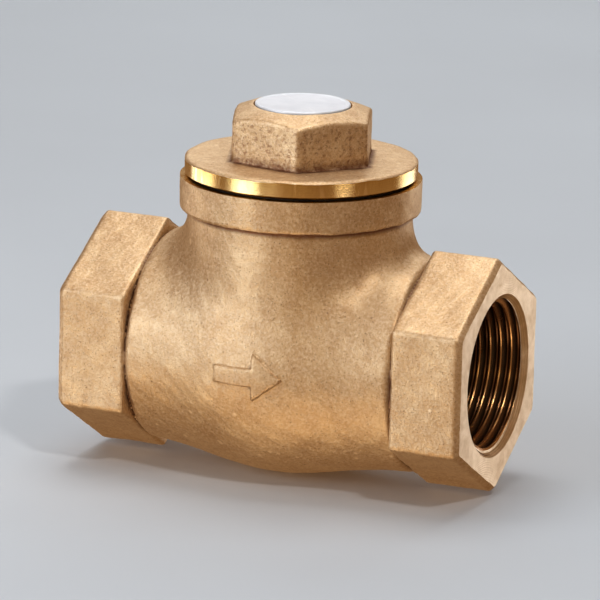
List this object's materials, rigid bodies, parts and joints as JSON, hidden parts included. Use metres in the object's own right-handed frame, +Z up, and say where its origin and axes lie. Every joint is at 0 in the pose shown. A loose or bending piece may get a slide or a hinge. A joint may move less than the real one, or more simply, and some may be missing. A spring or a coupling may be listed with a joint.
{
  "type": "swing check valve",
  "caption": "Bronze swing check valve with female taper-threaded hexagon ends, a screwed hexagon cap and a hinged clapper that opens with the flow.",
  "frame": {"origin": "where the axis of the pipe run meets the axis of the screwed cap", "axes": "+X along the pipe run in the direction of flow, +Z up through the cap, +Y towards the side with the hinge pin plug"},
  "size_m": [0.09, 0.0577, 0.0782],
  "materials": {
    "cast_bronze": "sand-cast, blasted, fine grain, satin",
    "turned_bronze": "lathe turned, bright",
    "stainless_steel": "drawn and ground",
    "plate_aluminium": "white satin, blank",
    "ptfe": "skived, waxy matt",
    "fibre": "compressed fibre sheet, matt"
  },
  "bodies": {
    "root": {"body": "cast_bronze", "hinge_pin": "stainless_steel", "hinge_pin_plug": "turned_bronze", "plug_washer": "fibre"},
    "hanger": {"hanger": "cast_bronze"},
    "disc": {"disc_holder": "turned_bronze", "seat_disc": "ptfe", "seat_disc_washer": "turned_bronze", "seat_disc_nut": "turned_bronze", "hanger_washer": "turned_bronze", "hanger_nut": "turned_bronze", "split_pin": "stainless_steel"},
    "gasket": {"cap_gasket": "fibre"},
    "cap": {"cap": "cast_bronze", "name_plate": "plate_aluminium"}
  },
  "joints": [
    {"name": "clapper_swing", "type": "hinge", "parent": "root", "child": "hanger", "pos_m": [-0.0085, 0, 0.0186], "axis": [0, -1, 0], "range_deg": [0, 55]},
    {"name": "disc_spin", "type": "hinge", "parent": "hanger", "child": "disc", "pos_m": [0, 0, 0], "axis": [1, 0, 0], "continuous": true},
    {"name": "cap_lift", "type": "slide", "parent": "root", "child": "gasket", "axis": [0, 0, 1], "range_m": [0, 0.0068]},
    {"name": "cap_turn", "type": "hinge", "parent": "gasket", "child": "cap", "pos_m": [0, 0, 0.0371], "axis": [0, 0, 1], "range_deg": [0, 1620]}
  ],
  "couplings": [
    {"joint": "cap_lift", "follows": "cap_turn", "m_per_rad": 0.00023873}
  ]
}
